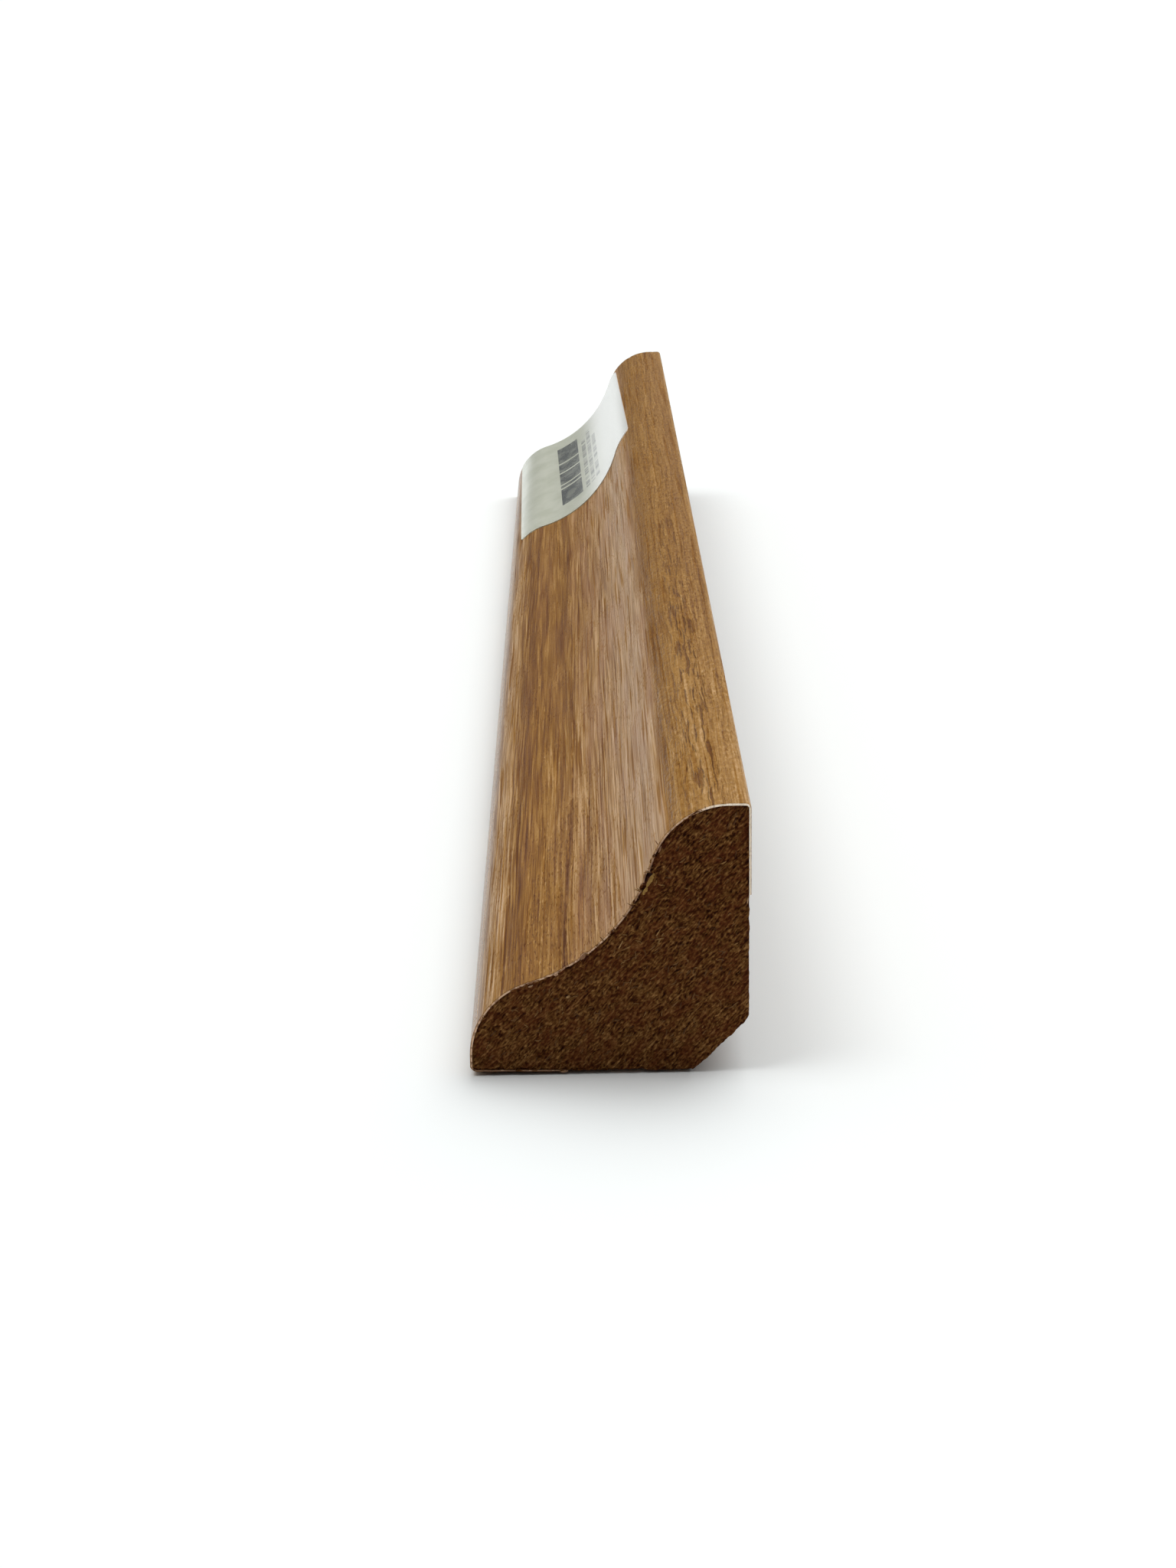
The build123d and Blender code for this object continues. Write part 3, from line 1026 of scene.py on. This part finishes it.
# Rows of bars: place across, half width, start and end along, pitch, share that is dark, seed
WIDE_ROW = (7.2, 1.5, 7.0, 45.0, 0.8, 0.6, 24)
NARROW_ROWS = (
    (9.6, 0.32, 7.0, 40.0, 0.45, 0.56, 25),
    (10.5, 0.32, 7.0, 44.0, 0.45, 0.56, 26),
    (11.4, 0.32, 7.0, 37.0, 0.45, 0.56, 28),
)
NARROW_STRENGTH = 0.7


def bar_row(sh, s, y, centre, half_width, start, end, pitch, fill, seed):
    """A row of plain bars along the sticker."""
    away = sh.math("ABSOLUTE", sh.math("SUBTRACT", s, centre))
    row = sh.math("LESS_THAN", away, half_width)
    reach = sh.times(sh.math("GREATER_THAN", y, start), sh.math("LESS_THAN", y, end))
    cell = sh.math("FLOOR", sh.math("DIVIDE", y, pitch))
    bar = sh.math("GREATER_THAN", sh.grain(cell, centre, 1, 1, seed, detail=0.0), 1.0 - fill)
    return sh.times(row, reach, bar)


def sticker_material():
    """Off-white coated paper with rows of plain grey bars, whiter on the steep part, which is partly a
    painted sheen.
    """
    material, sh = new_material("sticker_paper")
    s, y, _ = sh.split(sh.attribute("printed"))
    pulp = sh.grain(s, y, 0.22, 0.3, 22, detail=3.0)
    cloud = sh.ramp(sh.grain(s, y, 3, 5, 23, detail=3.0), 0.3, 0.7)
    colour = sh.mix(cloud, STICKER_WHITE, STICKER_SHADE)
    # Whiter on the steep part: partly whiter paper, partly a painted sheen
    colour = sh.mix(sh.ramp(s, 8.5, 14.0), colour, STICKER_PALE_SHEEN)
    bars = bar_row(sh, s, y, *WIDE_ROW)
    for row in NARROW_ROWS:
        bars = sh.math("MAXIMUM", bars, sh.times(NARROW_STRENGTH, bar_row(sh, s, y, *row)))
    fade = sh.ramp(sh.grain(s, y, 1.6, 4.0, 27, detail=3.0), 0.35, 0.65, 0.65, 0.9)
    colour = sh.mix(sh.times(fade, bars), colour, STICKER_INK)
    rough = sh.add(STICKER_ROUGHNESS, sh.sway(pulp, 0.1))
    sh.surface({"Base Color": colour, "Roughness": rough, "Normal": sh.bump(pulp, STICKER_EMBOSS),
                "IOR": STICKER_IOR})
    return material


# Pieces

def add_piece(mesh, materials, replaced=None):
    """Puts a mesh in the scene as a piece of the object."""
    piece = bpy.data.objects.new(mesh.name, mesh)
    bpy.context.scene.collection.objects.link(piece)
    for material in materials:
        mesh.materials.append(material)
    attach(piece, "root")
    if replaced:
        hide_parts(replaced)


def add_pieces():
    add_piece(core_mesh(), [sawn_material(), milled_material()], "fibreboard_core")
    add_piece(loose_mesh(), [fibre_material()])
    add_piece(foil_mesh(), [foil_material()], "foil_wrap")
    add_piece(sticker_mesh(), [sticker_material()], "paper_sticker")


# Studio: a white table in a room that is dark low down and on the camera's side

FLOOR_COLOUR = (0.97, 1.0, 0.995, 1.0)
FLOOR_REACH = 6.0


def add_floor():
    mesh = bpy.data.meshes.new("floor")
    corners = [(x * FLOOR_REACH, y * FLOOR_REACH, 0) for x, y in ((-1, -1), (1, -1), (1, 1), (-1, 1))]
    mesh.from_pydata(corners, [], [(0, 1, 2, 3)])
    material, sh = new_material("floor")
    body = sh.node("ShaderNodeBsdfDiffuse", {"Color": FLOOR_COLOUR})
    sh.node("ShaderNodeOutputMaterial", {"Surface": body.outputs[0]})
    mesh.materials.append(material)
    floor = bpy.data.objects.new("floor", mesh)
    bpy.context.scene.collection.objects.link(floor)


# Strengths of the room's light, and the directions between which it goes from weak to strong
ROOM_LOW = 0.1
ROOM_HIGH = 0.75
ROOM_FRONT = 0.2
WALL_HEIGHTS = (0.2, 0.7)
WALL_DEPTHS = (-0.6, 0.3)


def add_world():
    world = bpy.data.worlds.new("room")
    world.use_nodes = True
    bpy.context.scene.world = world
    sh = Shader(world.node_tree)
    _, y, z = sh.split(sh.node("ShaderNodeTexCoord").outputs["Generated"])
    upward = sh.ramp(z, *WALL_HEIGHTS, ROOM_LOW, ROOM_HIGH)
    level = sh.times(upward, sh.ramp(y, *WALL_DEPTHS, ROOM_FRONT, 1.0))
    seen = sh.node("ShaderNodeLightPath").outputs["Is Camera Ray"]
    strength = sh.math("MAXIMUM", level, seen)
    sky = sh.node("ShaderNodeBackground", {"Color": (1.0, 1.0, 1.0, 1.0), "Strength": strength})
    sh.node("ShaderNodeOutputWorld", {"Surface": sky.outputs[0]})


def add_sun(name, bearing, height, width, strength):
    """A soft lamp without fall-off, from a bearing (0 is +X, 90 is +Y) and a height in degrees."""
    data = bpy.data.lights.new(name, "SUN")
    data.angle, data.energy = radians(width), strength
    lamp = bpy.data.objects.new(name, data)
    bpy.context.scene.collection.objects.link(lamp)
    flat = cos(radians(height))
    source = Vector((flat * cos(radians(bearing)), flat * sin(radians(bearing)), sin(radians(height))))
    lamp.rotation_euler = (-source).to_track_quat("-Z", "Y").to_euler()


def add_lamps():
    add_sun("window", bearing=57.4, height=53.4, width=58.8, strength=1.55)
    add_sun("ceiling", bearing=189.2, height=68.7, width=25.2, strength=0.8)


# Camera, where the photographer's stood

CAMERA_PLACE = (-1.534 * MM, -282.615 * MM, 75.966 * MM)
CAMERA_DOWN = radians(16.891)
CAMERA_RIGHT = radians(0.095)
CAMERA_ROLL = radians(0.934)
LENS = 66.85
SENSOR_WIDTH = 36.0
NEAREST_SEEN = 0.01


def add_camera():
    data = bpy.data.cameras.new("camera")
    data.lens, data.sensor_width = LENS, SENSOR_WIDTH
    data.clip_start = NEAREST_SEEN
    camera = bpy.data.objects.new("camera", data)
    bpy.context.scene.collection.objects.link(camera)
    forward = Vector((sin(CAMERA_RIGHT) * cos(CAMERA_DOWN), cos(CAMERA_RIGHT) * cos(CAMERA_DOWN),
                      -sin(CAMERA_DOWN)))
    level = Vector((cos(CAMERA_RIGHT), -sin(CAMERA_RIGHT), 0))
    down = forward.cross(level)
    right = level * cos(CAMERA_ROLL) + down * sin(CAMERA_ROLL)
    turned = down * cos(CAMERA_ROLL) - level * sin(CAMERA_ROLL)
    axes = Matrix((right, -turned, -forward)).transposed()
    camera.matrix_world = Matrix.Translation(CAMERA_PLACE) @ axes.to_4x4()
    bpy.context.scene.camera = camera


add_pieces()
add_floor()
add_world()
add_lamps()
add_camera()
bpy.context.scene.view_settings.view_transform = "Standard"
